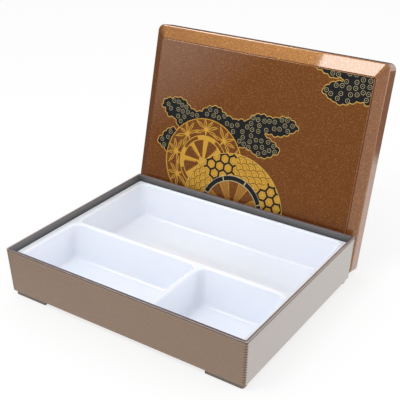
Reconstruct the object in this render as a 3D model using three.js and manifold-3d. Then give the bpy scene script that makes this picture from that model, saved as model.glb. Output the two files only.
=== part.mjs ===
// Bento box: a drafted case on four corner feet, a drop-in tray with three compartments, and an
// over-fitting lid with a raised panel, taken off and leaning back behind the case.
// Millimetres, +Z up. The origin is under the middle of the whole part, on the table.
import * as THREE from "three";
import { mergeVertices } from "three/addons/utils/BufferGeometryUtils.js";
import Module from "manifold-3d";

// Case: outside sizes are taken at the rim
const CASE_LENGTH = 270;
const CASE_WIDTH = 212;
const CASE_HEIGHT = 47.5;
const CASE_DRAFT = 2;
const CASE_WALL = 3;
const CASE_FLOOR = 2.5;
const CASE_CORNER_RADIUS = 2;
const CASE_BASE_ROUND = 1.5;
const CASE_INNER_ROUND = 2;

// Corner feet: a straight bar under each corner, along the case's long side
const FOOT_HEIGHT = 4;
const FOOT_LENGTH = 38.5;
const FOOT_WIDTH = 7;
const FOOT_END_INSET = 2.3;
const FOOT_SIDE_INSET = 1.7;
const FOOT_CORNER_RADIUS = 3;

// Tray: a thin moulding whose rim lies below the rim of the case
const TRAY_RIM_DROP = 7;
const TRAY_SKIN = 1.8;
const TRAY_RIM_WIDTH = 3;
const TRAY_SIDE_CLEARANCE = 0.6;
const TRAY_SEAT_CLEARANCE = 0.3;
const TRAY_DIVIDER = 6;
const TRAY_LONG_DIVIDER_Y = -15;
const TRAY_SHORT_DIVIDER_X = 30;
const TRAY_WALL_TAPER = THREE.MathUtils.degToRad(7);
const TRAY_CORNER_RADIUS = 7.5;
const TRAY_FLOOR_ROUND = 2.5;

// Lid: the skirt goes over the outside of the case
const LID_WALL = 2;
const LID_FIT_CLEARANCE = 0.5;
const LID_SKIRT = 17;
const LID_CORNER_RADIUS = 7;
const LID_RIDGE_ROUND = 1.2;
const LID_SLOPE_RISE = 5.2;
const LID_END_SLOPE = 11.5;
const LID_SIDE_SLOPE = 15;
const PANEL_RISE = 0.8;
const PANEL_STEP = 0.4;
const PANEL_CORNER_RADIUS = 2.5;

// Where the lid stands: leaning back, its lower rear edge on the table
const LID_LEAN = THREE.MathUtils.degToRad(13.9);
const LID_STAND_CLEARANCE = 0.5;
const LID_SIDE_SHIFT = -5;

// Facets: steps in a corner seen from above, and in a rounded edge
const CORNER_STEPS = 6;
const ROUND_STEPS = 4;
const CUT_PAST = 1;
const LEAST_RADIUS = 1;

const wasm = await Module();
wasm.setup();

const CORNER_SIGNS = [
  [1, 1],
  [-1, 1],
  [-1, -1],
  [1, -1],
];

// One closed ring of points round a rectangle with rounded corners, at one height.
function ringPoints({ halfX, halfY, radius, z, x = 0, y = 0 }) {
  return CORNER_SIGNS.flatMap(([signX, signY], corner) =>
    Array.from({ length: CORNER_STEPS + 1 }, (_, step) => {
      const angle = ((corner + step / CORNER_STEPS) * Math.PI) / 2;
      return [
        x + signX * (halfX - radius) + radius * Math.cos(angle),
        y + signY * (halfY - radius) + radius * Math.sin(angle),
        z,
      ];
    }),
  );
}

// A closed solid through rounded rectangles stacked from the lowest to the highest.
function loft(sections) {
  const rings = sections.map(ringPoints);
  const count = rings[0].length;
  const top = (rings.length - 1) * count;
  const index = [];
  for (let level = 0; level < rings.length - 1; level++) {
    for (let i = 0; i < count; i++) {
      const a = level * count + i;
      const b = level * count + ((i + 1) % count);
      index.push(a, b, b + count, a, b + count, a + count);
    }
  }
  for (let i = 1; i < count - 1; i++) {
    index.push(0, i + 1, i, top, top + i, top + i + 1);
  }
  const geometry = new THREE.BufferGeometry();
  geometry.setAttribute("position", new THREE.Float32BufferAttribute(rings.flat(2), 3));
  geometry.setIndex(index);
  return geometry;
}

// The rounded edge from a level surface up into a wall: how far each step lies in from the wall,
// and how far above the level.
function roundSteps(radius) {
  return Array.from({ length: ROUND_STEPS + 1 }, (_, step) => {
    const angle = ((step / ROUND_STEPS) * Math.PI) / 2;
    return { inset: radius * (1 - Math.sin(angle)), rise: radius * (1 - Math.cos(angle)) };
  });
}

function toSolid(geometry) {
  const bare = geometry.clone();
  bare.deleteAttribute("normal");
  bare.deleteAttribute("uv");
  const merged = mergeVertices(bare);
  return new wasm.Manifold(
    new wasm.Mesh({
      numProp: 3,
      vertProperties: merged.attributes.position.array,
      triVerts: new Uint32Array(merged.index.array),
    }),
  );
}

function toGeometry(solid) {
  const mesh = solid.getMesh();
  const geometry = new THREE.BufferGeometry();
  geometry.setAttribute("position", new THREE.BufferAttribute(mesh.vertProperties, 3));
  geometry.setIndex(new THREE.BufferAttribute(mesh.triVerts, 1));
  geometry.computeVertexNormals();
  return geometry;
}

function namedMesh(name, geometry, color, roughness, metalness) {
  const material = new THREE.MeshStandardMaterial({ color, roughness, metalness });
  const mesh = new THREE.Mesh(geometry, material);
  mesh.name = name;
  return mesh;
}

// Case
const caseBase = FOOT_HEIGHT;
const caseRim = caseBase + CASE_HEIGHT;
const caseFloorTop = caseBase + CASE_FLOOR;

// How far the case's wall has leaned in at a height.
function caseLean(z) {
  return (CASE_DRAFT * (caseRim - z)) / CASE_HEIGHT;
}

// The case's outline at a height, a given distance in from the outside of its wall.
function caseSection(z, inset, wallInset) {
  const lean = caseLean(z) + wallInset;
  return {
    halfX: CASE_LENGTH / 2 - lean - inset,
    halfY: CASE_WIDTH / 2 - lean - inset,
    radius: Math.max(CASE_CORNER_RADIUS - wallInset - inset, LEAST_RADIUS),
    z,
  };
}

function buildCase() {
  const outer = loft([
    ...roundSteps(CASE_BASE_ROUND).map(({ inset, rise }) => caseSection(caseBase + rise, inset, 0)),
    caseSection(caseRim, 0, 0),
  ]);
  const inner = loft([
    ...roundSteps(CASE_INNER_ROUND).map(({ inset, rise }) =>
      caseSection(caseFloorTop + rise, inset, CASE_WALL),
    ),
    caseSection(caseRim + CUT_PAST, 0, CASE_WALL),
  ]);
  return namedMesh("case", toGeometry(toSolid(outer).subtract(toSolid(inner))), "#8f7866", 0.42, 0.35);
}

// Feet
function buildFoot(name, signX, signY) {
  const cornerX = CASE_LENGTH / 2 - CASE_DRAFT - FOOT_END_INSET;
  const cornerY = CASE_WIDTH / 2 - CASE_DRAFT - FOOT_SIDE_INSET;
  const at = (inX, inY) => [signX * (cornerX - inX), signY * (cornerY - inY)];
  const outline = new THREE.Shape();
  outline.moveTo(...at(0, FOOT_WIDTH));
  outline.lineTo(...at(0, FOOT_CORNER_RADIUS));
  outline.quadraticCurveTo(...at(0, 0), ...at(FOOT_CORNER_RADIUS, 0));
  outline.lineTo(...at(FOOT_LENGTH, 0));
  outline.lineTo(...at(FOOT_LENGTH, FOOT_WIDTH));
  const geometry = new THREE.ExtrudeGeometry(outline, {
    depth: FOOT_HEIGHT,
    bevelEnabled: false,
    curveSegments: CORNER_STEPS,
  });
  return namedMesh(name, geometry, "#3a3735", 0.6, 0);
}

// Tray
const trayRim = caseRim - TRAY_RIM_DROP;
const trayRimUnder = trayRim - TRAY_SKIN;
const trayFloor = caseFloorTop + TRAY_SEAT_CLEARANCE + TRAY_SKIN;
const trayInset = CASE_WALL + caseLean(trayRimUnder) + TRAY_SIDE_CLEARANCE;
const trayHalfX = CASE_LENGTH / 2 - trayInset;
const trayHalfY = CASE_WIDTH / 2 - trayInset;

// The three compartments' mouths at the rim, between the rim's flat and the two dividers.
const mouthX = trayHalfX - TRAY_RIM_WIDTH;
const mouthY = trayHalfY - TRAY_RIM_WIDTH;
const longNear = TRAY_LONG_DIVIDER_Y - TRAY_DIVIDER / 2;
const longFar = TRAY_LONG_DIVIDER_Y + TRAY_DIVIDER / 2;
const shortLeft = TRAY_SHORT_DIVIDER_X - TRAY_DIVIDER / 2;
const shortRight = TRAY_SHORT_DIVIDER_X + TRAY_DIVIDER / 2;
const mouths = [
  { left: -mouthX, right: mouthX, near: longFar, far: mouthY },
  { left: -mouthX, right: shortLeft, near: -mouthY, far: longNear },
  { left: shortRight, right: mouthX, near: -mouthY, far: longNear },
];

// A tapered tub with a rounded floor edge, grown outwards by the skin for its underside.
function tub({ left, right, near, far }, grow, top) {
  const floor = trayFloor - grow;
  const section = (z, inset) => {
    const taper = (trayRim - z) * Math.tan(TRAY_WALL_TAPER);
    return {
      halfX: (right - left) / 2 + grow - taper - inset,
      halfY: (far - near) / 2 + grow - taper - inset,
      radius: Math.max(TRAY_CORNER_RADIUS + grow - inset, LEAST_RADIUS),
      x: (left + right) / 2,
      y: (near + far) / 2,
      z,
    };
  };
  const steps = roundSteps(TRAY_FLOOR_ROUND + grow);
  return loft([...steps.map(({ inset, rise }) => section(floor + rise, inset)), section(top, 0)]);
}

function buildTray() {
  const rimRadius = Math.max(CASE_CORNER_RADIUS - trayInset, LEAST_RADIUS);
  const plate = { halfX: trayHalfX, halfY: trayHalfY, radius: rimRadius };
  let solid = toSolid(
    loft([
      { ...plate, z: trayRimUnder },
      { ...plate, z: trayRim },
    ]),
  );
  for (const mouth of mouths) {
    solid = solid.add(toSolid(tub(mouth, TRAY_SKIN, trayRim)));
  }
  for (const mouth of mouths) {
    solid = solid.subtract(toSolid(tub(mouth, 0, trayRim + CUT_PAST)));
  }
  return namedMesh("tray", toGeometry(solid), "#e6eaf3", 0.2, 0);
}

// Lid, built lying flat with its rim at z = 0 and its panel up
const lidHalfX = CASE_LENGTH / 2 + LID_FIT_CLEARANCE + LID_WALL;
const lidHalfY = CASE_WIDTH / 2 + LID_FIT_CLEARANCE + LID_WALL;
const lidShoulder = LID_SKIRT + LID_SLOPE_RISE;
const lidDepth = lidShoulder + PANEL_RISE;

// The lid's outline, a given distance in from its ends and from its long sides.
function lidSection(z, endInset, sideInset, radius) {
  return { halfX: lidHalfX - endInset, halfY: lidHalfY - sideInset, radius, z };
}

function buildLid() {
  const ridge = LID_RIDGE_ROUND;
  const ridgeRise = (ridge * LID_SLOPE_RISE) / LID_SIDE_SLOPE;
  const outer = loft([
    lidSection(0, 0, 0, LID_CORNER_RADIUS),
    lidSection(LID_SKIRT - ridge, 0, 0, LID_CORNER_RADIUS),
    lidSection(LID_SKIRT - ridge / 4, ridge / 4, ridge / 4, LID_CORNER_RADIUS),
    lidSection(LID_SKIRT + ridgeRise, ridge, ridge, LID_CORNER_RADIUS),
    lidSection(lidShoulder, LID_END_SLOPE - PANEL_STEP, LID_SIDE_SLOPE - PANEL_STEP, PANEL_CORNER_RADIUS),
    lidSection(lidDepth, LID_END_SLOPE, LID_SIDE_SLOPE, PANEL_CORNER_RADIUS),
  ]);
  const innerRadius = CASE_CORNER_RADIUS + LID_FIT_CLEARANCE;
  const inner = loft([
    lidSection(-CUT_PAST, LID_WALL, LID_WALL, innerRadius),
    lidSection(LID_SKIRT - LID_WALL, LID_WALL, LID_WALL, innerRadius),
    lidSection(lidDepth - LID_WALL, LID_END_SLOPE, LID_SIDE_SLOPE, PANEL_CORNER_RADIUS),
  ]);
  return namedMesh("lid", toGeometry(toSolid(outer).subtract(toSolid(inner))), "#7a4622", 0.25, 0.2);
}

// How far behind the case's middle the lid's lower rear edge stands, for one line along the lid's front
// to clear the case's rear wall: the line's distance up the lid, and its depth in front of the lid's rim.
function edgeBehind(up, depth) {
  const height = up * Math.cos(LID_LEAN) + depth * Math.sin(LID_LEAN);
  const reach = depth * Math.cos(LID_LEAN) - up * Math.sin(LID_LEAN);
  return CASE_WIDTH / 2 - caseLean(Math.max(height, caseBase)) + LID_STAND_CLEARANCE + reach;
}

// Stands the lid up: its rim turns to the back, and its panel and ridge clear the case.
function standLid(lid) {
  const edgeY = Math.max(edgeBehind(LID_SIDE_SLOPE, lidDepth), edgeBehind(0, LID_SKIRT));
  const stand = new THREE.Group();
  stand.rotation.x = Math.PI / 2 - LID_LEAN;
  stand.position.set(
    LID_SIDE_SHIFT,
    edgeY + lidHalfY * Math.sin(LID_LEAN),
    lidHalfY * Math.cos(LID_LEAN),
  );
  stand.add(lid);
  return stand;
}

// The whole part, moved so that its box's bottom centre is the origin.
const part = new THREE.Group();
part.add(buildCase());
part.add(buildFoot("foot_front_left", -1, -1));
part.add(buildFoot("foot_front_right", 1, -1));
part.add(buildFoot("foot_back_left", -1, 1));
part.add(buildFoot("foot_back_right", 1, 1));
part.add(buildTray());
part.add(standLid(buildLid()));
part.updateMatrixWorld(true);

const bounds = new THREE.Box3().setFromObject(part, true);
const middle = bounds.getCenter(new THREE.Vector3());
part.position.set(-middle.x, -middle.y, -bounds.min.z);

export default part;
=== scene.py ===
import math
import random
from typing import NamedTuple

import bmesh
import bpy
from bpy.props import FloatProperty, FloatVectorProperty, PointerProperty
from mathutils import Matrix, Vector
from mathutils.geometry import interpolate_bezier


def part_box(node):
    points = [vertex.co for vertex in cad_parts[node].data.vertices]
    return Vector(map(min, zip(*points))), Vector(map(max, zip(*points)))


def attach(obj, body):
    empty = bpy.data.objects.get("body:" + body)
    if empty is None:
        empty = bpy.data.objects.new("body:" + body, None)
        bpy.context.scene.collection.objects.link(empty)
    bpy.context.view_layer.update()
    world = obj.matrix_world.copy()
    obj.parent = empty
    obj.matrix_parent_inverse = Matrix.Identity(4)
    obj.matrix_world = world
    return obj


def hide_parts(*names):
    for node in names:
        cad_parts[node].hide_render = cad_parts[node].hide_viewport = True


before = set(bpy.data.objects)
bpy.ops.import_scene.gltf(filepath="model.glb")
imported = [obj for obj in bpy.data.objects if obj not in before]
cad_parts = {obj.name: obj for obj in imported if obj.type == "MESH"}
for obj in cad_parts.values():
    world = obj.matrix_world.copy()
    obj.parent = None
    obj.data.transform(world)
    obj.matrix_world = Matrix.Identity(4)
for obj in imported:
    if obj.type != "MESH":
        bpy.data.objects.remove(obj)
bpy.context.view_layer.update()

bl_info = {
    "name": "Bento Box",
    "version": (1, 0, 0),
    "blender": (4, 5, 0),
    "location": "View3D > Sidebar > Bento",
    "description": "A bento box with a ribbed case, a compartment tray and a printed, lacquered lid",
    "category": "Object",
}

MM = 0.001
CASE_LOW, CASE_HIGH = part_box("case")
TRAY_LOW, TRAY_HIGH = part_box("tray")
LID_LOW, LID_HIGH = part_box("lid")
FEET = ("foot_front_left", "foot_front_right", "foot_back_left", "foot_back_right")
CASE_X = (CASE_LOW.x + CASE_HIGH.x) / 2
CASE_Y = (CASE_LOW.y + CASE_HIGH.y) / 2

# How finely rounded corners and edges are cut, and from what angle an edge is left sharp
CORNER_SEGMENTS = 8
ROUND_STEPS = 4
EDGE_SEGMENTS = 3
SMOOTH_ANGLE = math.radians(32)
LEAST_RADIUS = 1 * MM
# Two rings at one height can't be bridged, so the inner edge of a rim lies this much below the outer one
HAIR = 0.02 * MM


def linear(code):
    """An sRGB hex colour as linear red, green and blue."""
    shares = [int(code[at : at + 2], 16) / 255 for at in (1, 3, 5)]
    return tuple(s / 12.92 if s <= 0.04045 else ((s + 0.055) / 1.055) ** 2.4 for s in shares)


def size(name, description, default):
    """A length in metres that a user may change."""
    return FloatProperty(
        name=name, description=description, default=default, subtype="DISTANCE", unit="LENGTH", precision=5
    )


def turn(name, description, degrees):
    """An angle that a user may change."""
    return FloatProperty(
        name=name, description=description, default=math.radians(degrees), subtype="ANGLE", unit="ROTATION"
    )


def amount(name, description, default):
    """A plain number that a user may change."""
    return FloatProperty(name=name, description=description, default=default)


def colour(name, description, code):
    """A colour that a user may change, given as an sRGB hex value."""
    return FloatVectorProperty(
        name=name, description=description, default=linear(code), size=3, min=0, max=1, subtype="COLOR"
    )


def place(name, description, default):
    """A point in the part's frame, in metres."""
    return FloatVectorProperty(
        name=name, description=description, default=default, size=3, subtype="TRANSLATION", unit="LENGTH"
    )


class BentoCaseSettings(bpy.types.PropertyGroup):
    """Sizes and colours of the case and its feet"""

    draft: size("Draft", "How far each wall leans in from rim to base", 2 * MM)
    wall: size("Wall", "Thickness of the wall at the rim", 3 * MM)
    floor: size("Floor", "Thickness of the floor", 2.5 * MM)
    corner: size("Corner radius", "Radius of the upright corners", 2 * MM)
    base_round: size("Base rounding", "Radius of the lower outer edge", 1.5 * MM)
    rim_round: size("Rim rounding", "Radius of the rim's two edges", 0.4 * MM)
    inner_round: size("Inner rounding", "Radius between the floor and the wall inside", 2 * MM)
    rib_pitch: size("Rib pitch", "Height of one level rib on the outside", 2.7 * MM)
    rib_depth: size("Rib depth", "Depth of the grooves across the long walls", 0.2 * MM)
    end_depth: size("End depth", "Depth of the same grooves across the smoother ends", 0.03 * MM)
    notch: size("Notch", "How much rounder the corners are in the grooves", 1.8 * MM)
    lip: size("Lip", "Height of the lip above the line under the rim", 0.5 * MM)
    line: size("Line", "Depth and height of the line under the rim", 0.6 * MM)
    foot_corner: size("Foot corner", "Radius of a foot's outer corner", 3 * MM)
    foot_round: size("Foot rounding", "Radius of a foot's other edges", 0.4 * MM)
    paint: colour("Bronze paint", "Sprayed long walls of the case", "#7B624C")
    # The end paint is a paler copy of the bronze: painted light on the ends, the lip and the rim strip at the
    # ends
    end_paint_lit_paler: colour("End paint", "The same paint on the smooth ends, where it looks paler", "#8A7F77")
    inside: colour("Inside", "Sprayed inside of the case", "#706D6C")
    # Besides the rim's top, this dark is painted shade in the line under the rim and in the grooves at the
    # corners
    rim: colour("Rim", "Top of the rim, where the two paints meet", "#5A4A4C")
    # The feet take the bronze painted darker and greyer, as painted shade for feet under the case
    foot: colour("Foot", "Moulded feet", "#655B54")


class BentoTraySettings(bpy.types.PropertyGroup):
    """Sizes and colour of the compartment tray"""

    skin: size("Skin", "Thickness of the moulding", 1.8 * MM)
    rim: size("Rim", "Width of the rim along the long sides", 3 * MM)
    end_rim: size("End rim", "Width of the rim at the two ends", 7.5 * MM)
    divider: size("Divider", "Width of the two dividing ribs at the top", 6 * MM)
    long_divider: size("Long divider", "Place of the long rib, from the case's middle", -15 * MM)
    short_divider: size("Short divider", "Place of the short rib, from the case's middle", 30 * MM)
    end_taper: turn("End taper", "Lean of the compartments' end walls", 6)
    side_taper: turn("Side taper", "Lean of the compartments' long walls", 13)
    corner: size("Corner radius", "Radius of the compartments' upright corners", 7.5 * MM)
    floor_round: size("Floor rounding", "Radius between a wall and the floor", 4 * MM)
    edge_round: size("Edge rounding", "Radius of the ribs' and the rim's upper edges", 2.2 * MM)
    outer_round: size("Outer rounding", "Radius of the rim's outer edge", 0.4 * MM)
    white: colour("White", "Moulded bluish white plastic", "#EFF3FC")


class BentoLidSettings(bpy.types.PropertyGroup):
    """Sizes and colours of the lid"""

    lean: turn("Lean", "How far back the lid leans from upright", 13.9)
    width: size("Width", "The lid's size across its short side", 217 * MM)
    wall: size("Wall", "Thickness of the moulding", 2 * MM)
    skirt: size("Skirt", "Height of the upright skirt", 17 * MM)
    corner: size("Corner radius", "Radius of the skirt's corners", 7 * MM)
    inner_corner: size("Inner corner", "Radius of the skirt's corners inside", 2.5 * MM)
    ridge_round: size("Ridge rounding", "Rounding where the skirt meets the slope", 1.6 * MM)
    slope_rise: size("Slope rise", "Height of the sloped border", 5.2 * MM)
    end_slope: size("End slope", "Width of the border at the short ends", 11.5 * MM)
    side_slope: size("Side slope", "Width of the border along the long sides", 15 * MM)
    panel_rise: size("Panel rise", "How far the panel stands above the border", 0.8 * MM)
    panel_round: size("Panel rounding", "Radius of the panel's edge", 0.5 * MM)
    panel_corner: size("Panel corner", "Radius of the panel's corners", 2.5 * MM)
    groove: size("Groove", "Depth of the line round the panel", 0.3 * MM)
    rim_round: size("Rim rounding", "Radius of the rim's edges", 0.5 * MM)
    lacquer: colour("Lacquer", "Brown ground of the lacquer", "#672C13")
    fleck: colour("Fleck", "Gold flecks in the lacquer", "#D9A042")
    speck: colour("Speck", "Flecks that lie deeper, seen through the brown", "#C4864E")
    inside: colour("Inside", "Unlacquered inside of the lid", "#2B221D")


class BentoPrintSettings(bpy.types.PropertyGroup):
    """Sizes and colours of the ornament printed on the lid"""

    film: size("Film", "Thickness of one layer of ink", 0.03 * MM)
    margin: size("Margin", "How far the ink stays from the panel's edge", 0.7 * MM)
    outline: size("Outline", "Width of the gold line round the clouds", 0.8 * MM)
    dot: size("Dot", "Radius of the rings in the clouds", 2.35 * MM)
    back_u: size("Back wheel across", "Hub of the back wheel, from the lid's middle", -51.5 * MM)
    back_v: size("Back wheel up", "Hub of the back wheel, from the lid's lower edge", 76.2 * MM)
    back_radius: size("Back wheel radius", "Outer radius of the back wheel", 49.4 * MM)
    front_u: size("Front wheel across", "Hub of the front wheel, from the lid's middle", -8.5 * MM)
    front_v: size("Front wheel up", "Hub of the front wheel, from the lid's lower edge", 32.3 * MM)
    front_radius: size("Front wheel radius", "Outer radius of the front wheel", 63.2 * MM)
    gold: colour("Gold ink", "Gold of the wheels and outlines", "#DAA63E")
    light_gold: colour("Light gold ink", "Gold of the clouds' edges and the front wheel's edge", "#DDB35C")
    pale_gold: colour("Pale gold ink", "Gold of the thin lines and the rings in the clouds", "#CBBC8E")
    dull_gold: colour("Dull gold ink", "Gold of the front wheel's spokes", "#A8742F")
    brown: colour("Thin black ink", "Black drawn thin over gold, as in the waves", "#4C2F10")
    black: colour("Black ink", "Black of the clouds and lines", "#17181B")


class BentoStageSettings(bpy.types.PropertyGroup):
    """The camera, the floor and the light"""

    aim: place("Aim", "Point at the middle of the picture", (-58.47 * MM, 88.64 * MM, 30 * MM))
    distance: size("Distance", "From the camera to the aim", 923.3 * MM)
    azimuth: turn("Azimuth", "Heading of the view, from +Y towards +X", -33.296)
    elevation: turn("Elevation", "Tilt of the view above level", -26.372)
    roll: turn("Roll", "Turn of the camera about its view", -0.45)
    focal: amount("Focal length", "In millimetres on a 36 mm wide frame", 72.67)
    ambient: amount("Ambient", "Strength of the even light from all sides", 1.0)
    overhead: amount("Overhead", "Power of the soft box above on the left, in watts", 7.2)
    right: amount("Right", "Power of the soft box on the right, in watts", 7)
    key: amount("Key", "Power of the small soft box at the front left, in watts", 2.3)
    floor: colour("Floor", "Pale floor", "#FDFDFD")


class Outline(NamedTuple):
    """A level rectangle with rounded corners, in metres."""

    half_x: float
    half_y: float
    radius: float
    z: float
    x: float = 0
    y: float = 0


def round_steps(radius):
    """A quarter round from level up to upright: how far in and how far up each step lies."""
    angles = [math.pi / 2 * step / ROUND_STEPS for step in range(ROUND_STEPS + 1)]
    return [(radius * (1 - math.sin(a)), radius * (1 - math.cos(a))) for a in angles]


# Modelling by hand: every piece starts here, with nothing else selected
def open_mesh(name):
    """A new piece in edit mode, ready for its first primitive."""
    bpy.ops.object.select_all(action="DESELECT")
    bpy.ops.object.add(type="MESH", enter_editmode=True, location=(0, 0, 0))
    piece = bpy.context.object
    piece.name = name
    piece.data.name = name
    bpy.context.tool_settings.mesh_select_mode = (True, False, False)
    return piece


def add_ring(outline, number):
    """Adds an outline as a closed ring of edges and marks its points with a number."""
    bpy.ops.mesh.select_all(action="DESELECT")
    centre = (outline.x, outline.y, outline.z)
    bpy.ops.mesh.primitive_plane_add(size=2, location=centre)
    bpy.ops.transform.resize(value=(outline.half_x, outline.half_y, 1), center_override=centre)
    bpy.ops.mesh.bevel(offset=outline.radius, segments=CORNER_SEGMENTS, affect="VERTICES")
    mesh = bpy.context.edit_object.data
    points = bmesh.from_edit_mesh(mesh)
    marks = points.verts.layers.int.get("ring") or points.verts.layers.int.new("ring")
    for vert in points.verts:
        vert.select_set(vert[marks] == 0)
        if vert[marks] == 0:
            vert[marks] = number
    points.select_flush(True)
    bmesh.update_edit_mesh(mesh)
    bpy.ops.mesh.delete(type="ONLY_FACE")


def select_rings(*numbers):
    """Selects the rings with these numbers, and nothing else."""
    bpy.ops.mesh.select_all(action="DESELECT")
    mesh = bpy.context.edit_object.data
    points = bmesh.from_edit_mesh(mesh)
    marks = points.verts.layers.int["ring"]
    for vert in points.verts:
        if vert[marks] in numbers:
            vert.select_set(True)
    points.select_flush(True)
    bmesh.update_edit_mesh(mesh)


def bridge_rings(outlines, first):
    """Adds outlines as rings numbered from first, bridges each to the next, and returns the last number."""
    for number, outline in enumerate(outlines, first):
        add_ring(outline, number)
        if number > first:
            select_rings(number - 1, number)
            bpy.ops.mesh.bridge_edge_loops()
    return first + len(outlines) - 1


def cap_ring(number):
    """Closes a ring with a face."""
    select_rings(number)
    bpy.ops.mesh.edge_face_add()


def close_mesh(piece):
    """Ends the modelling in edit mode with the faces turned outwards."""
    bpy.ops.mesh.select_all(action="SELECT")
    bpy.ops.mesh.normals_make_consistent(inside=False)
    bpy.ops.object.mode_set(mode="OBJECT")
    marks = piece.data.attributes.get("ring")
    if marks:
        piece.data.attributes.remove(marks)


def loft(name, outlines):
    """A closed piece through a chain of outlines, with a face at each end."""
    piece = open_mesh(name)
    last = bridge_rings(outlines, 1)
    cap_ring(1)
    cap_ring(last)
    close_mesh(piece)
    return piece


def modify(piece, kind, **settings):
    """Adds a modifier to the piece and applies it."""
    bpy.context.view_layer.objects.active = piece
    bpy.ops.object.modifier_add(type=kind)
    modifier = piece.modifiers[-1]
    for key, value in settings.items():
        setattr(modifier, key, value)
    bpy.ops.object.modifier_apply(modifier=modifier.name)


def round_edges(piece, radius, degrees):
    """Rounds the edges that turn by more than an angle."""
    modify(
        piece,
        "BEVEL",
        width=radius,
        segments=EDGE_SEGMENTS,
        limit_method="ANGLE",
        angle_limit=math.radians(degrees),
    )


def settle(piece):
    """Applies the piece's place and smooths its round faces."""
    bpy.ops.object.select_all(action="DESELECT")
    piece.select_set(True)
    bpy.context.view_layer.objects.active = piece
    bpy.ops.object.transform_apply(location=True, rotation=True, scale=True)
    bpy.ops.object.shade_smooth_by_angle(angle=SMOOTH_ANGLE)
    modify(piece, "WEIGHTED_NORMAL", keep_sharp=True)


# Materials: a real spray, mould or powder grain is about a tenth of a millimetre wide, and is drawn about
# a millimetre wide so that it shows
def add_node(owner, kind, values=(), links=(), **settings):
    """Adds one node: settings are its options, values its sockets' numbers, and links feed sockets."""
    node = owner.node_tree.nodes.new(kind)
    for key, value in settings.items():
        setattr(node, key, value)
    for socket, value in dict(values).items():
        node.inputs[socket].default_value = value
    for socket, output in dict(links).items():
        owner.node_tree.links.new(output, node.inputs[socket])
    return node


def new_material(name):
    """A material with no nodes yet."""
    material = bpy.data.materials.new(name)
    material.use_nodes = True
    material.node_tree.nodes.clear()
    return material


def surface(material, shader):
    """Leads a shader to the material's output, which completes the material."""
    add_node(material, "ShaderNodeOutputMaterial", links={"Surface": shader.outputs[0]})
    return material


def rgba(shade, factor=1.0):
    """A colour of the settings as a socket takes it, lighter or darker by a factor."""
    return (*(min(1.0, channel * factor) for channel in shade), 1.0)


def grained(material, shade, width, detail, least, most):
    """A grain of a given width on the piece, and the shade that varies along it between two factors."""
    place_at = add_node(material, "ShaderNodeTexCoord").outputs["Object"]
    grain = add_node(
        material, "ShaderNodeTexNoise", {"Scale": 1 / width, "Detail": detail}, {"Vector": place_at}
    )
    tone = add_node(
        material,
        "ShaderNodeMix",
        {6: rgba(shade, least), 7: rgba(shade, most)},
        {0: grain.outputs["Fac"]},
        data_type="RGBA",
    )
    return grain.outputs["Fac"], tone.outputs[2]


def bronze_paint(name, shade, coat, coat_ior):
    """ABS sprayed with satin bronze: a faint metallic grain, and a sheen that turns pale at a low angle."""
    material = new_material(name)
    _, mottle = grained(material, shade, 60 * MM, 1, 0.93, 1.07)
    place_at = add_node(material, "ShaderNodeTexCoord").outputs["Object"]
    grain = add_node(
        material, "ShaderNodeTexNoise", {"Scale": 1 / (1.1 * MM), "Detail": 2}, {"Vector": place_at}
    )
    speckle = add_node(
        material,
        "ShaderNodeMix",
        {7: rgba(shade, 1.25)},
        {0: grain.outputs["Fac"], 6: mottle},
        data_type="RGBA",
    )
    gloss = add_node(
        material, "ShaderNodeMapRange", {"To Min": 0.36, "To Max": 0.46}, {"Value": grain.outputs["Fac"]}
    )
    shader = add_node(
        material,
        "ShaderNodeBsdfPrincipled",
        {"Metallic": 0.35, "Coat Weight": coat, "Coat Roughness": 0.28, "Coat IOR": coat_ior},
        {"Base Color": speckle.outputs[2], "Roughness": gloss.outputs["Result"]},
    )
    return surface(material, shader)


def grey_inside(shade):
    """ABS sprayed grey inside: an even satin with a fine spray grain, and painted shade that darkens it from
    the rim down to the tray's top, near black below.
    """
    material = new_material("grey_spray_on_ABS")
    _, tone = grained(material, shade, 1.2 * MM, 2, 0.9, 1.1)
    place_at = add_node(material, "ShaderNodeTexCoord").outputs["Object"]
    height = add_node(material, "ShaderNodeSeparateXYZ", links={"Vector": place_at})
    # Painted shade: the inside darkens from the rim to the tray's top, and stays dark below it
    bare = add_node(
        material,
        "ShaderNodeMapRange",
        {"From Min": CASE_HIGH.z, "From Max": TRAY_HIGH.z, "To Max": 0.75},
        {"Value": height.outputs["Z"]},
    )
    painted_gap_shade = add_node(
        material,
        "ShaderNodeMix",
        {7: rgba(shade, 0.12)},
        {0: bare.outputs["Result"], 6: tone},
        data_type="RGBA",
    )
    shader = add_node(
        material,
        "ShaderNodeBsdfPrincipled",
        {"Roughness": 0.34, "Metallic": 0.2, "Coat Weight": 0.25, "Coat Roughness": 0.3},
        {"Base Color": painted_gap_shade.outputs[2]},
    )
    return surface(material, shader)


def dull_bronze(name, shade):
    """Dull ABS with no clear coat and a fine moulded grain, for the feet and the rim. The feet's darker
    bronze and the rim's dark in its line and corner grooves are painted shade.
    """
    material = new_material(name)
    _, tone = grained(material, shade, 0.9 * MM, 3, 0.85, 1.15)
    shader = add_node(material, "ShaderNodeBsdfPrincipled", {"Roughness": 0.5}, {"Base Color": tone})
    return surface(material, shader)


def tray_plastic(shade):
    """Moulded polypropylene: bluish white and glossy, with light passing a little way in."""
    material = new_material("white_moulded_polypropylene")
    flow, tone = grained(material, shade, 35 * MM, 2, 0.985, 1.015)
    gloss = add_node(material, "ShaderNodeMapRange", {"To Min": 0.1, "To Max": 0.16}, {"Value": flow})
    shader = add_node(
        material,
        "ShaderNodeBsdfPrincipled",
        {"IOR": 1.49, "Specular IOR Level": 0.35, "Subsurface Weight": 0.12, "Subsurface Scale": 1.5 * MM},
        {"Base Color": tone, "Roughness": gloss.outputs["Result"]},
    )
    return surface(material, shader)


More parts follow.
